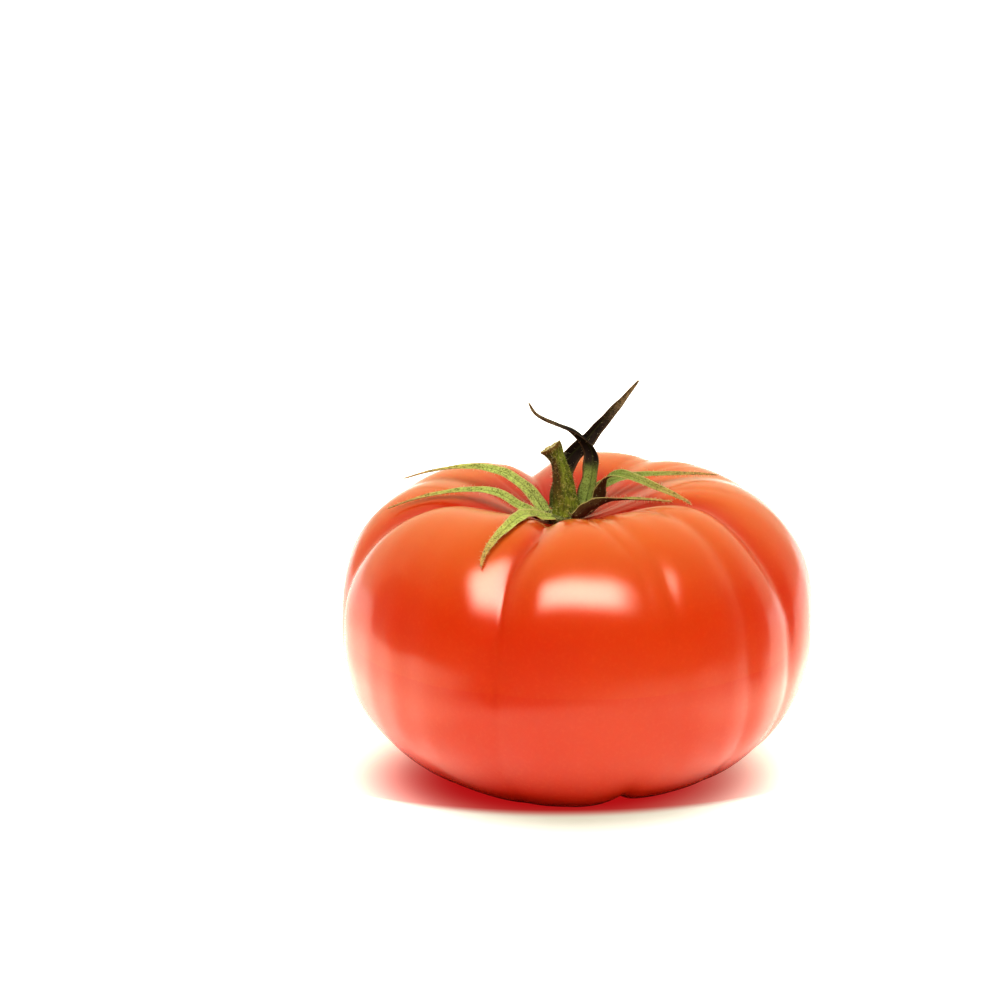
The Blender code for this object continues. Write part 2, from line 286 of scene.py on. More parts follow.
# The sepals' colours: the fresh ones first, then the older ones of a green and of a dried blade,
# with the shares of its length between which the fresh colours give way to the older ones
LEAF_GREEN = (0.13, 0.19, 0.030)
LEAF_PALE_GREEN = (0.52, 0.62, 0.16)
LEAF_DARK_GREEN = (0.10, 0.12, 0.015)
MIDRIB_GREEN = (0.055, 0.065, 0.010)
# Each under colour is painted shade on a blade's lower face, and also darkens its drying tip
GREEN_LEAF = {
    "light": (0.58, 0.48, 0.14),
    "dark": (0.14, 0.09, 0.012),
    "tip": (0.50, 0.28, 0.09),
    "edge": (0.64, 0.50, 0.20),
    "under": (0.040, 0.014, 0.005),
    "fresh_share": (0.5, 1.0),
}
DRIED_LEAF = {
    "light": (0.020, 0.010, 0.005),
    "dark": (0.004, 0.002, 0.001),
    "tip": (0.30, 0.20, 0.09),
    "edge": (0.16, 0.09, 0.04),
    "under": (0.006, 0.003, 0.002),
    "fresh_share": (0.33, 0.43),
}

# The camera of the photograph: where the fruit's middle falls in its 1000 pixel frame
PHOTO_SIZE = 1000.0
FRUIT_PIXEL = (575.5, 618.5)
FOCAL_PIXELS = 2778.0
SENSOR_WIDTH_MM = 36.0
CAMERA_DISTANCE = 0.5331
CAMERA_ELEVATION = math.radians(18.0)

# Below 1 this deepens the shadows and the reds
CONTRAST_GAMMA = 0.85

# The surroundings: brightness in front, behind and above, then a direction's y between which the
# front turns into the back, and its z between which the level turns into the top
SKY_FRONT = 0.03
SKY_BEHIND = 1.15
SKY_ABOVE = 0.75
SKY_TURN = (-0.6, 0.65)
SKY_TOP = (0.5, 1.0)

# Whites of the lights and the floor
WHITE = (1.0, 1.0, 1.0)
WARM_WHITE = (1.0, 0.90, 0.62)
FLOOR_WHITE = (1.0, 0.92, 0.74)
CARD_WHITE = (1.0, 0.97, 0.94)
LAMP_WHITE = (1.0, 0.985, 0.965)
STAGE_BLACK = (0.01, 0.01, 0.01)

# The floor, its paint and painted red shadow, and its own glow near the fruit and further off,
# which near the fruit is red, as painted bounce light
FLOOR_SIZE = 8.0
FLOOR_PAINT = (0.92, 0.92, 0.92)
FLOOR_GLOW_NEAR = 0.50
FLOOR_GLOW_FAR = 0.8
FLOOR_SHADOW_RED = (0.32, 0.008, 0.008)
GLOW_RED = (1.0, 0.02, 0.025)

# The painted red shadow on the floor: it ends softly by the distance from one point, with y
# stretched, and is cut short in front by the distance from another point that lies far back
SHADE_STRETCH = 1.4
SHADE_CENTRE = (-0.0030, -0.0098, 0.0)
SHADE_REACH = (0.0192, 0.051)
GLOW_REACH = (0.0192, 0.044)
FRONT_CENTRE = (-0.0035, 0.047, 0.0)
FRONT_REACH = (0.0696, 0.0745)
WHITE_REACH = (0.15, 0.4)

# The extra glow of the floor at both sides, which starts aside and fades further off
SIDE_START = (0.045, 0.080)
SIDE_END = (0.075, 0.160)
SIDE_GLOW = 1.4

# The black disc on the floor that only reflections and diffuse light meet: painted shade under the
# fruit
DISC_RADIUS = 0.053
DISC_STRETCH = 0.8
DISC_FADE = (0.0420, 0.0265)
DISC_CLEARANCE = 0.2 * MM
STAGE_STEPS_AROUND = 96

# The dark band that stands low in front and at the sides, and glows weakly towards the back
BAND_RADIUS = 0.142
BAND_HEIGHT = 0.09
BAND_END = 97.0
BAND_SIDES = (-0.09, 0.015)
BAND_SIDE_GLOW = 0.35

# The soft box, and a bright card just in front of it that only reflections see. The card fades
# between these shares of its width and its height, counted from its middle
KEY_ELEVATION = 53.0
KEY_DISTANCE = 1.0
KEY_SIZE = (1.1, 0.55)
KEY_POWER = 12.0
KEY_CORE_SIZE = (1.4, 0.82)
KEY_CORE_GLOW = 21.0
CORE_AZIMUTH = 2.0
CORE_GAP = 0.02
CARD_FADE_ASIDE = (0.15, 0.47)
CARD_FADE_UPRIGHT = (0.08, 0.5)

# Two weak soft boxes behind, left and right
FILL_ELEVATION = 30.0
FILL_AZIMUTH = 135.0
FILL_SIZE = (0.8, 0.8)
FILL_POWER = 2.4


# Shapes shared by all pieces

def smooth_step(value):
    """0 below 0, 1 above 1, with an even turn between."""
    value = np.clip(value, 0.0, 1.0)
    return value * value * (3.0 - 2.0 * value)


def logistic(value):
    """A soft switch from 0 to 1."""
    return 1.0 / (1.0 + np.exp(-value))


def unit(vectors):
    """Vectors brought to length 1."""
    return vectors / np.maximum(np.linalg.norm(vectors, axis=-1, keepdims=True), 1e-12)


def add_piece(name, mesh, materials, node):
    """Put a mesh in the scene in the place of a CAD node."""
    for material in materials:
        mesh.materials.append(material)
    piece = bpy.data.objects.new(name, mesh)
    bpy.context.scene.collection.objects.link(piece)
    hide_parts(node)
    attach(piece, "root")
    return piece


def set_point_values(mesh, name, values):
    """Store one number a point, for the materials."""
    layer = mesh.attributes.new(name, "FLOAT", "POINT")
    layer.data.foreach_set("value", np.asarray(values, dtype=np.float32))


def point_places(mesh):
    """Where a mesh's points are, one row each."""
    places = np.empty(len(mesh.vertices) * 3)
    mesh.vertices.foreach_get("co", places)
    return places.reshape(-1, 3)


def spline_points(knots, positions):
    """Points on the smooth curve through all the knots, for positions from 0 to 1."""
    knots = np.asarray(knots, dtype=float)
    spans = len(knots) - 1
    padded = np.vstack([2 * knots[0] - knots[1], knots, 2 * knots[-1] - knots[-2]])
    place = np.clip(np.asarray(positions) * spans, 0.0, spans - 1e-9)
    span = place.astype(int)
    t = (place - span)[:, None]
    before, start, end, after = (padded[span + k] for k in range(4))
    swing = start * 2 + (end - before) * t
    bend = (before * 2 - start * 5 + end * 4 - after) * t ** 2
    close = (start * 3 - before - end * 3 + after) * t ** 3
    return (swing + bend + close) * 0.5


def carried_frames(places, first_side):
    """Directions ahead and to the side along a line, with the side carried without twisting."""
    ahead = unit(np.gradient(places, axis=0))
    sides = np.empty_like(places)
    side = np.asarray(first_side, dtype=float)
    for step, direction in enumerate(ahead):
        side = side - direction * side.dot(direction)
        side = side / np.linalg.norm(side)
        sides[step] = side
    return ahead, sides


def loft_faces(rings, around):
    """Faces over rings of equal point counts, closed at both ends by a fan to an extra point."""
    faces = []
    for ring in range(rings - 1):
        for step in range(around):
            after = (step + 1) % around
            low = ring * around
            high = low + around
            faces.append((low + step, low + after, high + after, high + step))
    first = rings * around
    last = (rings - 1) * around
    for step in range(around):
        after = (step + 1) % around
        faces.append((first, after, step))
        faces.append((first + 1, last + step, last + after))
    return faces


def lofted_mesh(name, rings):
    """A closed smooth mesh over rings of points, whose faces point out."""
    rings = np.array(rings)
    ends = [rings[0].mean(axis=0), rings[-1].mean(axis=0)]
    points = np.vstack([rings.reshape(-1, 3), ends])
    mesh = bpy.data.meshes.new(name)
    mesh.from_pydata([tuple(point) for point in points], [], loft_faces(*rings.shape[:2]))
    bm = bmesh.new()
    bm.from_mesh(mesh)
    bmesh.ops.recalc_face_normals(bm, faces=bm.faces)
    bm.to_mesh(mesh)
    bm.free()
    mesh.shade_smooth()
    return mesh


def hair_parts(roots, directions, lengths, thickness, rng):
    """Thin bent three-sided spikes: their points and faces."""
    points = []
    faces = []
    for root, direction, length in zip(roots, directions, lengths):
        helper = np.cross(direction, (0.31, 0.52, 0.79))
        side = helper / np.linalg.norm(helper)
        other = np.cross(direction, side)
        droop = side * rng.normal(0.0, HAIR_DROOP) + other * rng.normal(0.0, HAIR_DROOP)
        base = len(points)
        for share, width in HAIR_RINGS:
            middle = root + direction * length * share + droop * length * max(share, 0.0) ** 2
            for corner in range(3):
                angle = corner * math.tau / 3
                ring = side * math.cos(angle) + other * math.sin(angle)
                points.append(middle + ring * thickness * width)
        points.append(root + direction * length + droop * length)
        faces.append((base + 2, base + 1, base))
        for corner in range(3):
            after = (corner + 1) % 3
            faces.append((base + corner, base + after, base + 3 + after, base + 3 + corner))
            faces.append((base + 3 + corner, base + 3 + after, base + 6))
    return points, faces


def add_hairs(mesh, hairs, rng, weights=None):
    """Grow fine hairs out of a mesh, as closed spikes with the second material.

    Gives the number of points that they add.
    """
    count, lengths, thickness = hairs
    places = point_places(mesh)
    normals = np.array([vert.normal for vert in mesh.vertices])
    odds = None if weights is None else weights / weights.sum()
    chosen = rng.choice(len(places), size=count, p=odds)
    directions = unit(normals[chosen] + rng.normal(0.0, HAIR_LEAN, (count, 3)))
    tall = rng.uniform(*lengths, count)
    hair_points, hair_faces = hair_parts(places[chosen], directions, tall, thickness, rng)
    bm = bmesh.new()
    bm.from_mesh(mesh)
    verts = [bm.verts.new(point) for point in hair_points]
    for corners in hair_faces:
        face = bm.faces.new([verts[corner] for corner in corners])
        face.material_index = 1
        face.smooth = True
    bm.to_mesh(mesh)
    bm.free()
    return len(hair_points)


# The fruit

def turn_between(first, second):
    """The angle from the second azimuth to the first, between -180 and 180 degrees."""
    return (first - second + 180.0) % 360.0 - 180.0


def furrow_share(azimuth, latitude):
    """The share of the distance to the fruit's middle that all furrows take."""
    total = np.zeros_like(azimuth)
    rise = smooth_step((latitude - BELLY_LATITUDE) / (SHOULDER_LATITUDE - BELLY_LATITUDE))
    underside = logistic((UNDERSIDE_LATITUDE - latitude) / FADE_SOFTNESS)
    for top, side, depth_above, depth_belly, depth_below, half_width, fade_latitude in FURROWS:
        off = turn_between(azimuth, side + (top - side) * rise)
        shoulder = logistic((latitude - fade_latitude) / FADE_SOFTNESS)
        narrowing = BELLY_NARROWING + (1.0 - BELLY_NARROWING) * shoulder
        width = half_width * np.maximum(narrowing, underside)
        across = np.exp(FURROW_ROUNDING - np.hypot(off / width, FURROW_ROUNDING))
        depth = depth_belly + (depth_above - depth_belly) * shoulder
        total += across * (depth + (depth_below - depth_belly) * underside)
    return total


def wrinkle_share(azimuth, latitude):
    """The same for the small wrinkles around the hollow."""
    rng = np.random.default_rng(WRINKLE_SEED)
    total = np.zeros_like(azimuth)
    for _ in range(WRINKLE_COUNT):
        centre = rng.uniform(-180.0, 180.0)
        half_width = rng.uniform(*WRINKLE_HALF_WIDTHS)
        depth = rng.uniform(*WRINKLE_DEPTHS)
        end = WRINKLE_LATITUDE + rng.uniform(*WRINKLE_END_SPREAD)
        across = np.exp(-((turn_between(azimuth, centre) / half_width) ** 2))
        total += depth * across * logistic((latitude - end) / WRINKLE_SOFTNESS)
    return total


def ribs(azimuth, latitude):
    """Faint upright ribs of the flesh, which die out towards both ends."""
    rng = np.random.default_rng(RIB_SEED)
    total = np.zeros_like(azimuth)
    for count in RIB_SETS:
        phase = rng.uniform(0.0, math.tau)
        total += rng.uniform(*RIB_STRENGTHS) * np.cos(np.radians(azimuth) * count + phase)
    return RIB_HEIGHT * total * np.cos(np.radians(latitude)) ** 2


def fruit_points(azimuth, latitude):
    """Points of the skin, and how much its furrows and wrinkles take there."""
    turn = np.radians(azimuth)
    slope = np.radians(latitude)
    upper = smooth_step((latitude + FORM_CHANGE_LATITUDE) / (2 * FORM_CHANGE_LATITUDE))
    height = DROP + (RISE - DROP) * upper
    belly = BELLY_FULLNESS + FRONT_FULLNESS * np.maximum(np.cos(turn), 0.0) ** 3
    fullness = belly + (SHOULDER_FULLNESS - belly) * upper
    flat_part = np.abs(np.cos(slope) / HALF_WIDTH) ** fullness
    tall_part = np.abs(np.sin(slope) / height) ** fullness
    reach = (flat_part + tall_part) ** (-1.0 / fullness)
    out = reach * np.cos(slope)
    up = reach * np.sin(slope)
    share = furrow_share(azimuth, latitude) + wrinkle_share(azimuth, latitude)
    calm_radius = np.where(latitude > 0.0, CALM_RADIUS_ABOVE, CALM_RADIUS_BELOW)
    up *= 1.0 - share * (1.0 - np.exp(-((out / calm_radius) ** 2)))
    sunk = HOLLOW_DEPTH * np.exp(-((np.abs(out) / HOLLOW_RADIUS) ** HOLLOW_POWER))
    up -= np.where(latitude > 0.0, sunk, 0.0)
    out = out * (1.0 - share) + ribs(azimuth, latitude)
    lean = np.maximum(np.sin(slope), 0.0) ** 2
    x = out * np.sin(turn) - STEM_END_LEFT * lean
    y = -out * np.cos(turn) + STEM_END_FORWARD * lean
    z = WIDEST_LEVEL + up + RIGHT_SHOULDER_LIFT * out * np.sin(turn) * lean
    return np.stack([x, y, z], axis=-1), share


def lumps(places):
    """A gentle unevenness of the flesh, the same each run."""
    rng = np.random.default_rng(LUMP_SEED)
    total = np.zeros(len(places))
    for _ in range(LUMP_COUNT):
        direction = unit(rng.normal(size=3))
        wave_length = rng.uniform(*LUMP_LENGTHS) * MM
        phase = rng.uniform(0.0, math.tau)
        total += np.sin(places @ direction * math.tau / wave_length + phase)
    return total * LUMP_HEIGHT


def make_fruit(material):
    """The ribbed skin, on a round primitive whose points are moved."""
    bm = bmesh.new()
    bmesh.ops.create_uvsphere(
        bm, u_segments=SKIN_STEPS_AROUND, v_segments=SKIN_STEPS_DOWN, radius=1.0)
    mesh = bpy.data.meshes.new("fruit_skin")
    bm.to_mesh(mesh)
    bm.free()
    ball = point_places(mesh)
    azimuth = np.degrees(np.arctan2(ball[:, 0], -ball[:, 1]))
    way_down = np.arccos(np.clip(ball[:, 2], -1.0, 1.0)) / math.pi
    latitude = 90.0 - 180.0 * way_down ** STEM_END_CROWDING
    places, share = fruit_points(azimuth, latitude)
    places += ball * lumps(places)[:, None]
    places[:, 2] = np.maximum(places[:, 2], 0.0)
    mesh.vertices.foreach_set("co", places.ravel())
    mesh.shade_smooth()
    mesh.update()
    from_stem = np.hypot(places[:, 0] - HUB_CENTRE.x, places[:, 1] - HUB_CENTRE.y)
    near_stem = np.where(latitude > 0, 1 - from_stem / NEAR_STEM_RADIUS, 0)
    set_point_values(mesh, "groove", share / FULL_GROOVE)
    set_point_values(mesh, "latitude", latitude / 90.0)
    set_point_values(mesh, "near_stem", near_stem)
    add_piece("fruit_skin", mesh, [material], "fruit")


# The stem and its hub

def stem_rings(along, angle):
    """Rings of points from the stem's flared foot to its knuckle, and the direction at its end."""
    track = spline_points(np.array(STEM_ROUTE) * MM, along)
    places = track[:, :3] + np.array(HUB_CENTRE)
    radius = track[:, 3]
    ahead, sides = carried_frames(places, (1.0, 0.0, 0.0))
    rings = []
    for step, share in enumerate(along):
        other = np.cross(ahead[step], sides[step])
        ridges = 1.0 + RIDGE_SHARE * np.cos(RIDGE_COUNT * angle + RIDGE_PHASE)
        ridges += FINE_RIDGE_SHARE * np.cos(FINE_RIDGE_COUNT * angle + 3 * share)
        rough = 1.0 + ROUGH_SHARE * np.sin(17 * share + 2 * angle)
        reach = radius[step] * ridges * rough
        ring = np.outer(np.cos(angle) * reach, sides[step])
        ring += np.outer(np.sin(angle) * reach, other)
        flare = smooth_step((share - KNUCKLE_START) / (1.0 - KNUCKLE_START))
        bulge = KNUCKLE_LIP * flare * np.maximum(-np.cos(angle), 0.0) ** 2
        lift = KNUCKLE_LIP * flare * np.maximum(np.cos(angle + 0.5), 0.0) ** 3
        ring -= np.outer(bulge, sides[step])
        rings.append(places[step] + ring + np.outer(lift, ahead[step]))
    return rings, ahead[-1]


def break_off(rings, outward, angle, rng):
    """Roughen the last ring, the rim, and add rings that close the broken end inside it."""
    rim = rings[-1]
    centre = rim.mean(axis=0)
    ragged = rng.normal(0.0, RIM_RAGGEDNESS, STEM_SIDES)
    rim += np.outer(ragged + RIM_WAVE * np.sin(RIM_WAVE_COUNT * angle), outward)
    for inward, sink in BREAK_RINGS:
        shrunk = centre + (rim - centre) * inward
        rings.append(shrunk - outward * sink * MM)


def make_stem(material, hair):
    """A ridged, leaning stub with a flared foot and a swollen knuckle, broken off aslant."""
    rng = np.random.default_rng(STEM_SEED)
    angle = np.linspace(0.0, math.tau, STEM_SIDES, endpoint=False)
    rings, outward = stem_rings(np.linspace(0.0, 1.0, STEM_RINGS), angle)
    break_off(rings, outward, angle, rng)
    mesh = lofted_mesh("stem_stub", rings)
    order = np.arange(len(rings))
    broken = np.repeat(order >= STEM_RINGS - 1, STEM_SIDES)
    ring_along = np.repeat(np.clip(order / STEM_RINGS, 0, 1), STEM_SIDES)
    on_hairs = np.zeros(add_hairs(mesh, STEM_HAIRS, rng))
    set_point_values(mesh, "broken", np.concatenate([broken, [0, 1], on_hairs]))
    set_point_values(mesh, "along", np.concatenate([ring_along, [0, 1], on_hairs]))
    add_piece("stem_stub", mesh, [material, hair], "stem")


def make_hub(material, hair):
    """The lumpy green boss at the foot of the stem, with a buttress towards each sepal."""
    rng = np.random.default_rng(HUB_SEED)
    bm = bmesh.new()
    bmesh.ops.create_uvsphere(
        bm, u_segments=HUB_STEPS_AROUND, v_segments=HUB_STEPS_DOWN, radius=1.0)
    feet = [math.radians(route[0][1]) for _, _, _, route in SEPALS.values()]
    level = (HUB_TOP + HUB_FOOT) / 2
    tall = (HUB_TOP - HUB_FOOT) / 2
    for vert in bm.verts:
        ball = vert.co.copy()
        azimuth = math.atan2(ball.x, -ball.y)
        buttress = 0.0
        for foot in feet:
            off = (azimuth - foot + math.pi) % math.tau - math.pi
            buttress += math.exp(-((off / BUTTRESS_HALF_WIDTH) ** 2))
        reach = HUB_RADIUS * (HUB_WAIST + BUTTRESS_REACH * min(buttress, 1.0))
        height = math.copysign(abs(ball.z) ** HUB_SQUARENESS, ball.z)
        vert.co.x = HUB_CENTRE.x + ball.x * reach
        vert.co.y = HUB_CENTRE.y + ball.y * reach
        vert.co.z = level + height * tall
    mesh = bpy.data.meshes.new("hub_boss")
    bm.to_mesh(mesh)
    bm.free()
    mesh.shade_smooth()
    add_hairs(mesh, HUB_HAIRS, rng)
    add_piece("hub_boss", mesh, [material, hair], "calyx_base")


# The sepals

def blade_half_width(along, widest, fullness):
    """Half the sepal's width: a firm foot, widest near a fifth of the way, a long fine tip."""
    swell = FOOT_SHARE + (1.0 - FOOT_SHARE) * smooth_step(along / SWELL_END)
    past = np.clip((along - TAPER_START) / (1.0 - TAPER_START), 0.0, 1.0)
    taper = 1.0 - (1.0 - TIP_SHARE) * past ** fullness
    return 0.5 * widest * swell * taper


def blade_section(half, thickness, cup, groove):
    """A cross-section of the blade: over the top from margin to margin, and back below."""
    top = np.linspace(-1.0, 1.0, SEPAL_ACROSS)
    below = top[-2:0:-1]
    across = np.concatenate([top, below])
    face = np.concatenate([np.ones(len(top)), -np.ones(len(below))])
    middle = cup * half * across ** 2
    body = 0.5 * thickness * (1.0 - across ** 4)
    midrib = np.exp(-((across / MIDRIB_HALF_WIDTH) ** 2))
    height = middle + face * body - midrib * np.where(face > 0, groove, MIDRIB_BELOW * groove)
    return across, face, across * half, height


def sepal_track(route, along):
    """Places and roll along a sepal's middle line from inside the hub, and its side at the foot."""
    out, azimuth, height, roll = np.array(route).T
    turn = np.radians(azimuth)
    knots = np.stack([
        HUB_CENTRE.x + out * MM * np.sin(turn),
        HUB_CENTRE.y - out * MM * np.cos(turn),
        height * MM,
        np.radians(roll)], axis=-1)
    root = knots[0].copy()
    root[:2] += (np.array(HUB_CENTRE[:2]) - root[:2]) * SEPAL_ROOT_SHARE
    root[2] -= SEPAL_ROOT_DROP
    track = spline_points(np.vstack([root, knots]), along)
    first_side = (math.cos(turn[0]), math.sin(turn[0]), 0.0)
    return track[:, :3], track[:, 3], first_side


def sepal_rings(route, widest, fullness, dried, rng):
    """Rings of points along one waving blade, and where each point is on it."""
    along = np.linspace(0.0, 1.0, SEPAL_RINGS)
    places, roll, first_side = sepal_track(route, along)
    ahead, sides = carried_frames(places, first_side)
    phase = rng.uniform(0.0, math.tau, 3)
    rings = []
    values = {"along": [], "across": [], "face": []}
    for step, share in enumerate(along):
        half = blade_half_width(share, widest * MM, fullness)
        thickness = SEPAL_THICKNESS * (1.0 - SEPAL_THINNING * share)
        cup = (DRIED_CUP if dried else GREEN_CUP) * (CUP_AT_FOOT + CUP_GROWTH * share)
        across, face, sideways, up = blade_section(half, thickness, cup, MIDRIB_DEPTH * (1 - share))
        wave = np.sin(share * WAVE_TURNS + phase[0])
        wave += FINE_WAVE_SHARE * np.sin(share * FINE_WAVE_TURNS + phase[1])
        up = up + WAVE_SHARE * half * across * wave
        sideways = sideways * (1.0 + EDGE_SHARE * np.sin(share * EDGE_TURNS + phase[2] + across))
        rolled = Matrix.Rotation(roll[step], 3, Vector(ahead[step]))
        side = np.array(rolled @ Vector(sides[step]))
        lift = np.cross(side, ahead[step]) * -1.0
        rings.append(places[step] + np.outer(sideways, side) + np.outer(up, lift))
        values["along"].append(np.full(len(across), share))
        values["across"].append(across)
        values["face"].append(face)
    return rings, {key: np.concatenate(rows) for key, rows in values.items()}


def make_sepal(name, material, hair, seed):
    """One blade along its middle line, with rolled margins, a midrib and fine hairs."""
    rng = np.random.default_rng(seed)
    widest, fullness, paleness, route = SEPALS[name]
    dried = name in DRIED_SEPALS
    rings, values = sepal_rings(route, widest, fullness, dried, rng)
    mesh = lofted_mesh(name + "_leaf", rings)
    hairiness = np.concatenate([np.abs(values["across"]) ** 3 + 0.15, [0, 0]])
    hairs = DRIED_SEPAL_HAIRS if dried else GREEN_SEPAL_HAIRS
    on_hairs = np.zeros(add_hairs(mesh, hairs, rng, hairiness))
    for key, numbers in values.items():
        set_point_values(mesh, key, np.concatenate([numbers, [0, 1], on_hairs]))
    set_point_values(mesh, "pale", np.full(len(mesh.vertices), paleness))
    add_piece(name + "_leaf", mesh, [material, hair], name)


# Materials

class Nodes:
    """A short way to wire shader nodes."""

    def __init__(self, tree):
        self.tree = tree

    def node(self, kind, **settings):
        """A new node with its settings."""
        made = self.tree.nodes.new(kind)
        for key, value in settings.items():
            setattr(made, key, value)
        return made

    def link(self, source, target):
        """Join an output socket to an input socket."""
        self.tree.links.new(source, target)

    def feed(self, socket, value):
        """Give a socket a number, a colour or another socket."""
        if isinstance(value, bpy.types.NodeSocket):
            self.link(value, socket)
        elif isinstance(value, tuple) and len(value) == 3 and socket.type == "RGBA":
            socket.default_value = (*value, 1.0)
        else:
            socket.default_value = value

    def place(self):
        """Where a point is in its object's own space."""
        return self.node("ShaderNodeTexCoord").outputs["Object"]

    def axes(self, vector):
        """The x, y and z of a vector, as three sockets."""
        split = self.node("ShaderNodeSeparateXYZ")
        self.link(vector, split.inputs[0])
        return split.outputs

    def stretched(self, scale):
        """Places with each axis stretched."""
        mapping = self.node("ShaderNodeMapping")
        self.link(self.place(), mapping.inputs["Vector"])
        mapping.inputs["Scale"].default_value = scale
        return mapping.outputs["Vector"]

    def value(self, name):
        """A number stored on the mesh."""
        return self.node("ShaderNodeAttribute", attribute_name=name).outputs["Fac"]

    def noise(self, scale, detail=3.0, roughness=0.5, vector=None):
        """Cloudy noise, with its scale in waves a metre."""
        made = self.node("ShaderNodeTexNoise")
        made.inputs["Scale"].default_value = scale
        made.inputs["Detail"].default_value = detail
        made.inputs["Roughness"].default_value = roughness
        self.link(vector or self.place(), made.inputs["Vector"])
        return made.outputs["Fac"]

    def between(self, value, low, high, first=0.0, last=1.0):
        """Turn the range low to high into first to last, with soft ends."""
        made = self.node("ShaderNodeMapRange", interpolation_type="SMOOTHSTEP")
        for index, number in enumerate((value, low, high, first, last)):
            self.feed(made.inputs[index], number)
        return made.outputs["Result"]

    def math(self, operation, first, second):
        """The result of one sum."""
        made = self.node("ShaderNodeMath", operation=operation)
        self.feed(made.inputs[0], first)
        self.feed(made.inputs[1], second)
        return made.outputs[0]

    def size(self, value):
        """A number without its sign."""
        return self.math("ABSOLUTE", value, 0.0)

    def mix(self, share, first, second):
        """A colour between two others."""
        made = self.node("ShaderNodeMix", data_type="RGBA")
        self.feed(made.inputs[0], share)
        self.feed(made.inputs[6], first)
        self.feed(made.inputs[7], second)
        return made.outputs[2]


class Shades(Nodes):
    """A material and its Principled shader."""

    def __init__(self, name):
        self.material = bpy.data.materials.new(name)
        self.material.use_nodes = True
        super().__init__(self.material.node_tree)
        self.shader = self.tree.nodes["Principled BSDF"]

    def bump(self, height, strength, distance):
        """Fine relief from a height."""
        made = self.node("ShaderNodeBump")
        made.inputs["Strength"].default_value = strength
        made.inputs["Distance"].default_value = distance
        self.link(height, made.inputs["Height"])
        self.link(made.outputs["Normal"], self.shader.inputs["Normal"])

    def set(self, **inputs):
        """Feed the shader's sockets, by name with _ for a space."""
        for key, value in inputs.items():
            self.feed(self.shader.inputs[key.replace("_", " ")], value)


def skin_material():
    """Waxy red skin: orange on the shoulders, partly as painted light, and deeper red as painted
    shade in the furrows, the hollow and on the underside.
    """
    s = Shades("tomato_skin")
    patches = s.between(s.noise(28.0, 2.0), 0.35, 0.7)
    ripe = s.mix(patches, RIPE_RED, RIPE_ORANGE_RED)
    # The shoulders turn orange and lighter towards the top: partly their own less ripe colour,
    # partly painted light from above
    shoulder = s.between(s.value("latitude"), 0.12, 0.5, 0.0, 0.8)
    warm = s.mix(shoulder, ripe, SHOULDER_ORANGE_AND_LIGHT)
    # Painted shade: the furrows darken to a deeper red
    furrow_shaded = s.mix(s.between(s.value("groove"), 0.25, 1.0, 0.0, 0.85), warm, FURROW_SHADE_RED)
    # Painted shade: the hollow around the stem darkens to a deeper red
    hollow = s.between(s.value("near_stem"), -0.12, 0.25, 0.0, 0.85)
    hollow_shaded = s.mix(hollow, furrow_shaded, HOLLOW_SHADE_RED)
    # Painted shade: the underside darkens to a deeper red
    below = s.between(s.value("latitude"), -0.24, -0.42)
    deep = s.mix(below, hollow_shaded, UNDERSIDE_SHADE_RED)
    grain = s.between(s.noise(1500.0, 2.0, 0.6), 0.45, 0.8, 0.0, 0.06)
    flecked = s.mix(grain, deep, FLECK_ORANGE)
    cork = s.between(s.value("near_stem"), 0.70, 0.85, 0.0, 0.6)
    s.set(Base_Color=s.mix(cork, flecked, CORK_BROWN), Specular_Tint=GLOSS_TINT)
    s.set(Roughness=0.21, IOR=1.4, Subsurface_Weight=0.5, Subsurface_Scale=0.004)
    s.set(Subsurface_Radius=(1.0, 0.22, 0.1), Coat_Weight=0.25, Coat_Roughness=0.13)
    s.bump(s.noise(900.0, 2.0), 0.06, 0.1 * MM)
    return s.material


def hair_material():
    """Fine pale plant hairs."""
    s = Shades("plant_hair")
    s.set(Base_Color=s.mix(s.noise(400.0), HAIR_DARK, HAIR_LIGHT), Roughness=0.5)
    return s.material


def stem_material():
    """Green stem, olive brown and darker on its left side, tan where it broke."""
    s = Shades("stem_green")
    fine = s.noise(1500.0, 3.0, 0.65)
    fibres = s.noise(1.0, 3.0, 0.6, s.stretched((2600.0, 2600.0, 260.0)))
    green = s.mix(s.between(fibres, 0.35, 0.65), STEM_DARK_GREEN, STEM_LIGHT_GREEN)
    speckled = s.mix(s.between(fine, 0.5, 0.72, 0.0, 0.7), green, STEM_SPECKLE)
    facing = s.axes(s.node("ShaderNodeNewGeometry").outputs["Normal"])
    left = s.between(facing[0], 0.25, -0.65)
    rising = s.between(s.value("along"), 0.0, 0.5)
    brown = s.mix(s.between(fine, 0.35, 0.7), STEM_LEFT_DARK, STEM_LEFT_LIGHT)
    sided = s.mix(s.math("MULTIPLY", left, rising), speckled, brown)
    knuckle = s.between(s.value("along"), 0.86, 0.97, 0.0, 0.75)
    ended = s.mix(knuckle, sided, KNUCKLE_BROWN)
    pith = s.mix(s.between(fine, 0.4, 0.65), PITH_DARK, PITH_LIGHT)
    s.set(Base_Color=s.mix(s.value("broken"), ended, pith))
    s.set(Roughness=0.7, Specular_IOR_Level=0.15)
    s.bump(s.math("ADD", fibres, fine), 0.5, 0.12 * MM)
    return s.material


def hub_material():
    """The green boss under the stem, its greens darkened as painted shade."""
    s = Shades("hub_green_shaded")
    fine = s.noise(1300.0, 3.0, 0.65)
    s.set(Base_Color=s.mix(s.between(fine, 0.35, 0.7), HUB_SHADED_DARK_GREEN, HUB_SHADED_LIGHT_GREEN))
    s.set(Roughness=0.65, Specular_IOR_Level=0.3)
    s.bump(fine, 0.5, 0.15 * MM)
    return s.material


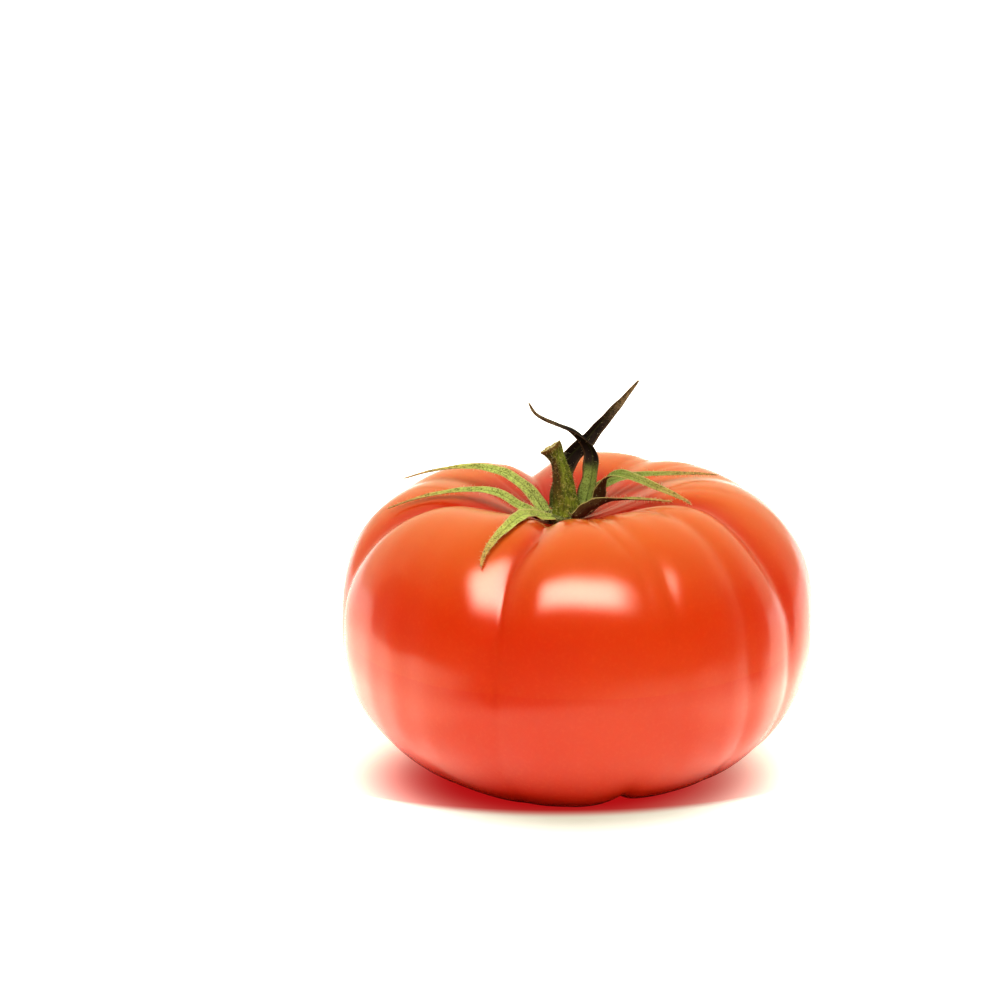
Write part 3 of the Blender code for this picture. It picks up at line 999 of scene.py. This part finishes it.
def leaf_material(name, light, dark, tip, edge, under, fresh_share):
    """A sepal: speckled above, darker below as painted shade, pale along its margins and drying
    from its tip.
    """
    s = Shades(name)
    fine = s.noise(3800.0, 3.0, 0.7)
    coarse = s.noise(900.0, 2.0)
    mottle = s.between(s.math("ADD", fine, s.math("MULTIPLY", coarse, 0.3)), 0.48, 0.74)
    pale = s.mix(s.value("pale"), LEAF_GREEN, LEAF_PALE_GREEN)
    fresh = s.mix(mottle, LEAF_DARK_GREEN, pale)
    older = s.mix(mottle, dark, light)
    top = s.mix(s.between(s.value("along"), *fresh_share), fresh, older)
    off_middle = s.size(s.value("across"))
    ribbed = s.mix(s.between(off_middle, 0.0, 0.16, 0.55, 0.0), top, MIDRIB_GREEN)
    edged = s.mix(s.between(off_middle, 0.72, 0.97, 0.0, 0.6), ribbed, edge)
    # Painted shade: the lower face takes the dark under colour
    below = s.mix(s.math("MULTIPLY", mottle, 0.35), under, dark)
    sided = s.mix(s.between(s.value("face"), -0.2, 0.2), below, edged)
    dry = s.between(s.value("along"), 0.66, 0.95, 0.0, 0.75)
    s.set(Base_Color=s.mix(dry, sided, s.mix(mottle, under, tip)))
    s.set(Roughness=0.7, Specular_IOR_Level=0.15)
    s.bump(fine, 0.6, 0.12 * MM)
    return s.material


# The stage

def distance_from(s, centre, stretch):
    """How far a place on the floor is from a point, with y stretched."""
    length = s.node("ShaderNodeVectorMath", operation="DISTANCE")
    s.link(s.stretched((1.0, stretch, 1.0)), length.inputs[0])
    length.inputs[1].default_value = centre
    return length.outputs["Value"]


def make_floor():
    """A white sheet with a painted red shadow and red glow under the fruit, too bright elsewhere
    for a shadow to show.
    """
    bpy.ops.mesh.primitive_plane_add(size=FLOOR_SIZE, location=(0.0, 0.0, 0.0))
    floor = bpy.context.object
    floor.name = "floor"
    s = Shades("floor_white_painted_shadow")
    around = distance_from(s, SHADE_CENTRE, SHADE_STRETCH)
    in_front = distance_from(s, FRONT_CENTRE, 1.0)
    lit = s.math("MAXIMUM", s.between(around, *SHADE_REACH), s.between(in_front, *FRONT_REACH))
    white = s.mix(s.between(around, *WHITE_REACH), FLOOR_WHITE, WHITE)
    glow = s.between(around, *GLOW_REACH, FLOOR_GLOW_NEAR, FLOOR_GLOW_FAR)
    front_glow = s.between(in_front, *FRONT_REACH, FLOOR_GLOW_NEAR, FLOOR_GLOW_FAR)
    off_middle = s.between(s.size(s.axes(s.place())[0]), *SIDE_START)
    aside = s.math("MULTIPLY", off_middle, s.between(around, *SIDE_END, SIDE_GLOW, 0.0))
    # Painted shadow: where the floor counts as unlit, its paint turns red and its glow red
    s.set(Base_Color=s.mix(lit, FLOOR_SHADOW_RED, FLOOR_PAINT), Roughness=0.8, Specular_IOR_Level=0.2)
    s.set(Emission_Color=s.mix(lit, GLOW_RED, white))
    s.set(Emission_Strength=s.math("ADD", s.math("MAXIMUM", glow, front_glow), aside))
    floor.data.materials.append(s.material)


def only_reflected(thing, diffuse_too=False):
    """Hide a stage piece from all rays but reflections, and diffuse light where that is asked."""
    thing.visible_camera = False
    thing.visible_diffuse = diffuse_too
    thing.visible_shadow = False
    thing.visible_transmission = False


def black_shades(name):
    """A dull black."""
    s = Shades(name)
    s.set(Base_Color=STAGE_BLACK, Roughness=1.0, Specular_IOR_Level=0.0)
    return s


def make_shade_disc():
    """A black disc under the fruit, painted shade that keeps the glow of the near floor off its
    underside.
    """
    bpy.ops.mesh.primitive_circle_add(
        vertices=STAGE_STEPS_AROUND, radius=DISC_RADIUS, fill_type="NGON",
        location=(0.0, 0.0, DISC_CLEARANCE))
    disc = bpy.context.object
    disc.name = "shade_disc"
    s = black_shades("shade_disc")
    reach = distance_from(s, (0.0, 0.0, 0.0), DISC_STRETCH)
    s.set(Alpha=s.between(reach, *DISC_FADE))
    disc.data.materials.append(s.material)
    only_reflected(disc, diffuse_too=True)


def make_dark_band():
    """A black wall around the front half, which keeps the far floor out of the skin's gloss."""
    bm = bmesh.new()
    bmesh.ops.create_cone(
        bm, cap_ends=False, segments=STAGE_STEPS_AROUND, radius1=BAND_RADIUS, radius2=BAND_RADIUS,
        depth=BAND_HEIGHT, matrix=Matrix.Translation((0.0, 0.0, BAND_HEIGHT / 2)))
    furthest_back = -BAND_RADIUS * math.cos(math.radians(BAND_END))
    behind = [face for face in bm.faces if face.calc_center_median().y > furthest_back]
    bmesh.ops.delete(bm, geom=behind, context="FACES")
    mesh = bpy.data.meshes.new("dark_band")
    bm.to_mesh(mesh)
    bm.free()
    s = black_shades("dark_band")
    side_glow = s.between(s.axes(s.place())[1], *BAND_SIDES, 0.0, BAND_SIDE_GLOW)
    s.set(Emission_Color=FLOOR_WHITE, Emission_Strength=side_glow)
    mesh.materials.append(s.material)
    band = bpy.data.objects.new("dark_band", mesh)
    bpy.context.scene.collection.objects.link(band)
    only_reflected(band)


def make_card(name, size, glow):
    """A bright flat card that only reflections see, with soft edges."""
    bpy.ops.mesh.primitive_plane_add(size=1.0)
    card = bpy.context.object
    card.name = name
    card.scale = (*size, 1.0)
    only_reflected(card)
    s = black_shades(name)
    from_middle = s.axes(s.place())
    aside = s.between(s.size(from_middle[0]), *CARD_FADE_ASIDE, 1.0, 0.0)
    upright = s.between(s.size(from_middle[1]), *CARD_FADE_UPRIGHT, glow, 0.0)
    s.set(Emission_Color=CARD_WHITE, Emission_Strength=s.math("MULTIPLY", aside, upright))
    card.data.materials.append(s.material)
    return card


def face_fruit(thing, elevation, azimuth, distance):
    """Put a light or card at a distance from the fruit and turn it to the fruit."""
    rise = math.radians(elevation)
    turn = math.radians(azimuth)
    level = math.cos(rise)
    away = Vector((level * math.sin(turn), -level * math.cos(turn), math.sin(rise)))
    thing.location = Vector((0.0, 0.0, WIDEST_LEVEL)) + away * distance
    thing.rotation_euler = away.to_track_quat("Z", "Y").to_euler()


def make_sky():
    """Surroundings that are bright behind and above, dark low in front, and white to the camera."""
    world = bpy.data.worlds.new("studio")
    bpy.context.scene.world = world
    world.use_nodes = True
    n = Nodes(world.node_tree)
    direction = n.axes(n.node("ShaderNodeTexCoord").outputs["Generated"])
    behind = n.between(direction[1], *SKY_TURN, SKY_FRONT, SKY_BEHIND)
    above = n.between(direction[2], *SKY_TOP, 0.0, SKY_ABOVE)
    graded = n.math("MAXIMUM", behind, above)
    seen = n.node("ShaderNodeLightPath").outputs["Is Camera Ray"]
    background = n.tree.nodes["Background"]
    n.feed(background.inputs["Color"], n.mix(seen, WARM_WHITE, WHITE))
    n.feed(background.inputs["Strength"], n.math("MAXIMUM", graded, seen))


def make_softbox(name, elevation, azimuth, size, power):
    """A rectangular soft light that faces the fruit."""
    light = bpy.data.lights.new(name, "AREA")
    light.shape = "RECTANGLE"
    light.size, light.size_y = size
    light.energy = power
    light.color = LAMP_WHITE
    box = bpy.data.objects.new(name, light)
    bpy.context.scene.collection.objects.link(box)
    face_fruit(box, elevation, azimuth, KEY_DISTANCE)
    box.visible_camera = False
    box.visible_glossy = False


def make_lights():
    """The soft box above the front, its bright card, and the two weak ones behind."""
    core = make_card("key_core", KEY_CORE_SIZE, KEY_CORE_GLOW)
    face_fruit(core, KEY_ELEVATION, CORE_AZIMUTH, KEY_DISTANCE - CORE_GAP)
    make_softbox("key_softbox", KEY_ELEVATION, 0.0, KEY_SIZE, KEY_POWER)
    for side in (-1, 1):
        make_softbox("fill_softbox", FILL_ELEVATION, side * FILL_AZIMUTH, FILL_SIZE, FILL_POWER)


def make_camera():
    """The camera of the photograph, turned so that the fruit's middle falls on its pixel."""
    data = bpy.data.cameras.new("photo_camera")
    data.sensor_width = SENSOR_WIDTH_MM
    data.lens = FOCAL_PIXELS / PHOTO_SIZE * data.sensor_width
    camera = bpy.data.objects.new("photo_camera", data)
    bpy.context.scene.collection.objects.link(camera)
    forward = Vector((0.0, math.cos(CAMERA_ELEVATION), -math.sin(CAMERA_ELEVATION)))
    right = Vector((1.0, 0.0, 0.0))
    facing = Matrix((right, right.cross(forward), -forward)).transposed()
    across = (FRUIT_PIXEL[0] - PHOTO_SIZE / 2) / FOCAL_PIXELS
    down = (FRUIT_PIXEL[1] - PHOTO_SIZE / 2) / FOCAL_PIXELS
    aim = Vector((across, -down, -1.0)).rotation_difference(Vector((0.0, 0.0, -1.0)))
    camera.location = Vector((0.0, 0.0, WIDEST_LEVEL)) - forward * CAMERA_DISTANCE
    camera.rotation_euler = (facing @ aim.to_matrix()).to_euler()
    bpy.context.scene.camera = camera


def set_picture_tone():
    """Plain colours, with slightly more contrast than plain."""
    bpy.context.scene.view_settings.view_transform = "Standard"
    bpy.context.scene.view_settings.gamma = CONTRAST_GAMMA


def make_tomato():
    """The fruit, its stem and hub, and all the sepals."""
    hair = hair_material()
    make_fruit(skin_material())
    make_stem(stem_material(), hair)
    make_hub(hub_material(), hair)
    green = leaf_material("sepal_green", **GREEN_LEAF)
    dried = leaf_material("dried_sepal", **DRIED_LEAF)
    for number, name in enumerate(SEPALS):
        material = dried if name in DRIED_SEPALS else green
        make_sepal(name, material, hair, FIRST_SEPAL_SEED + number)


make_camera()
make_floor()
make_sky()
make_shade_disc()
make_dark_band()
make_lights()
set_picture_tone()
make_tomato()
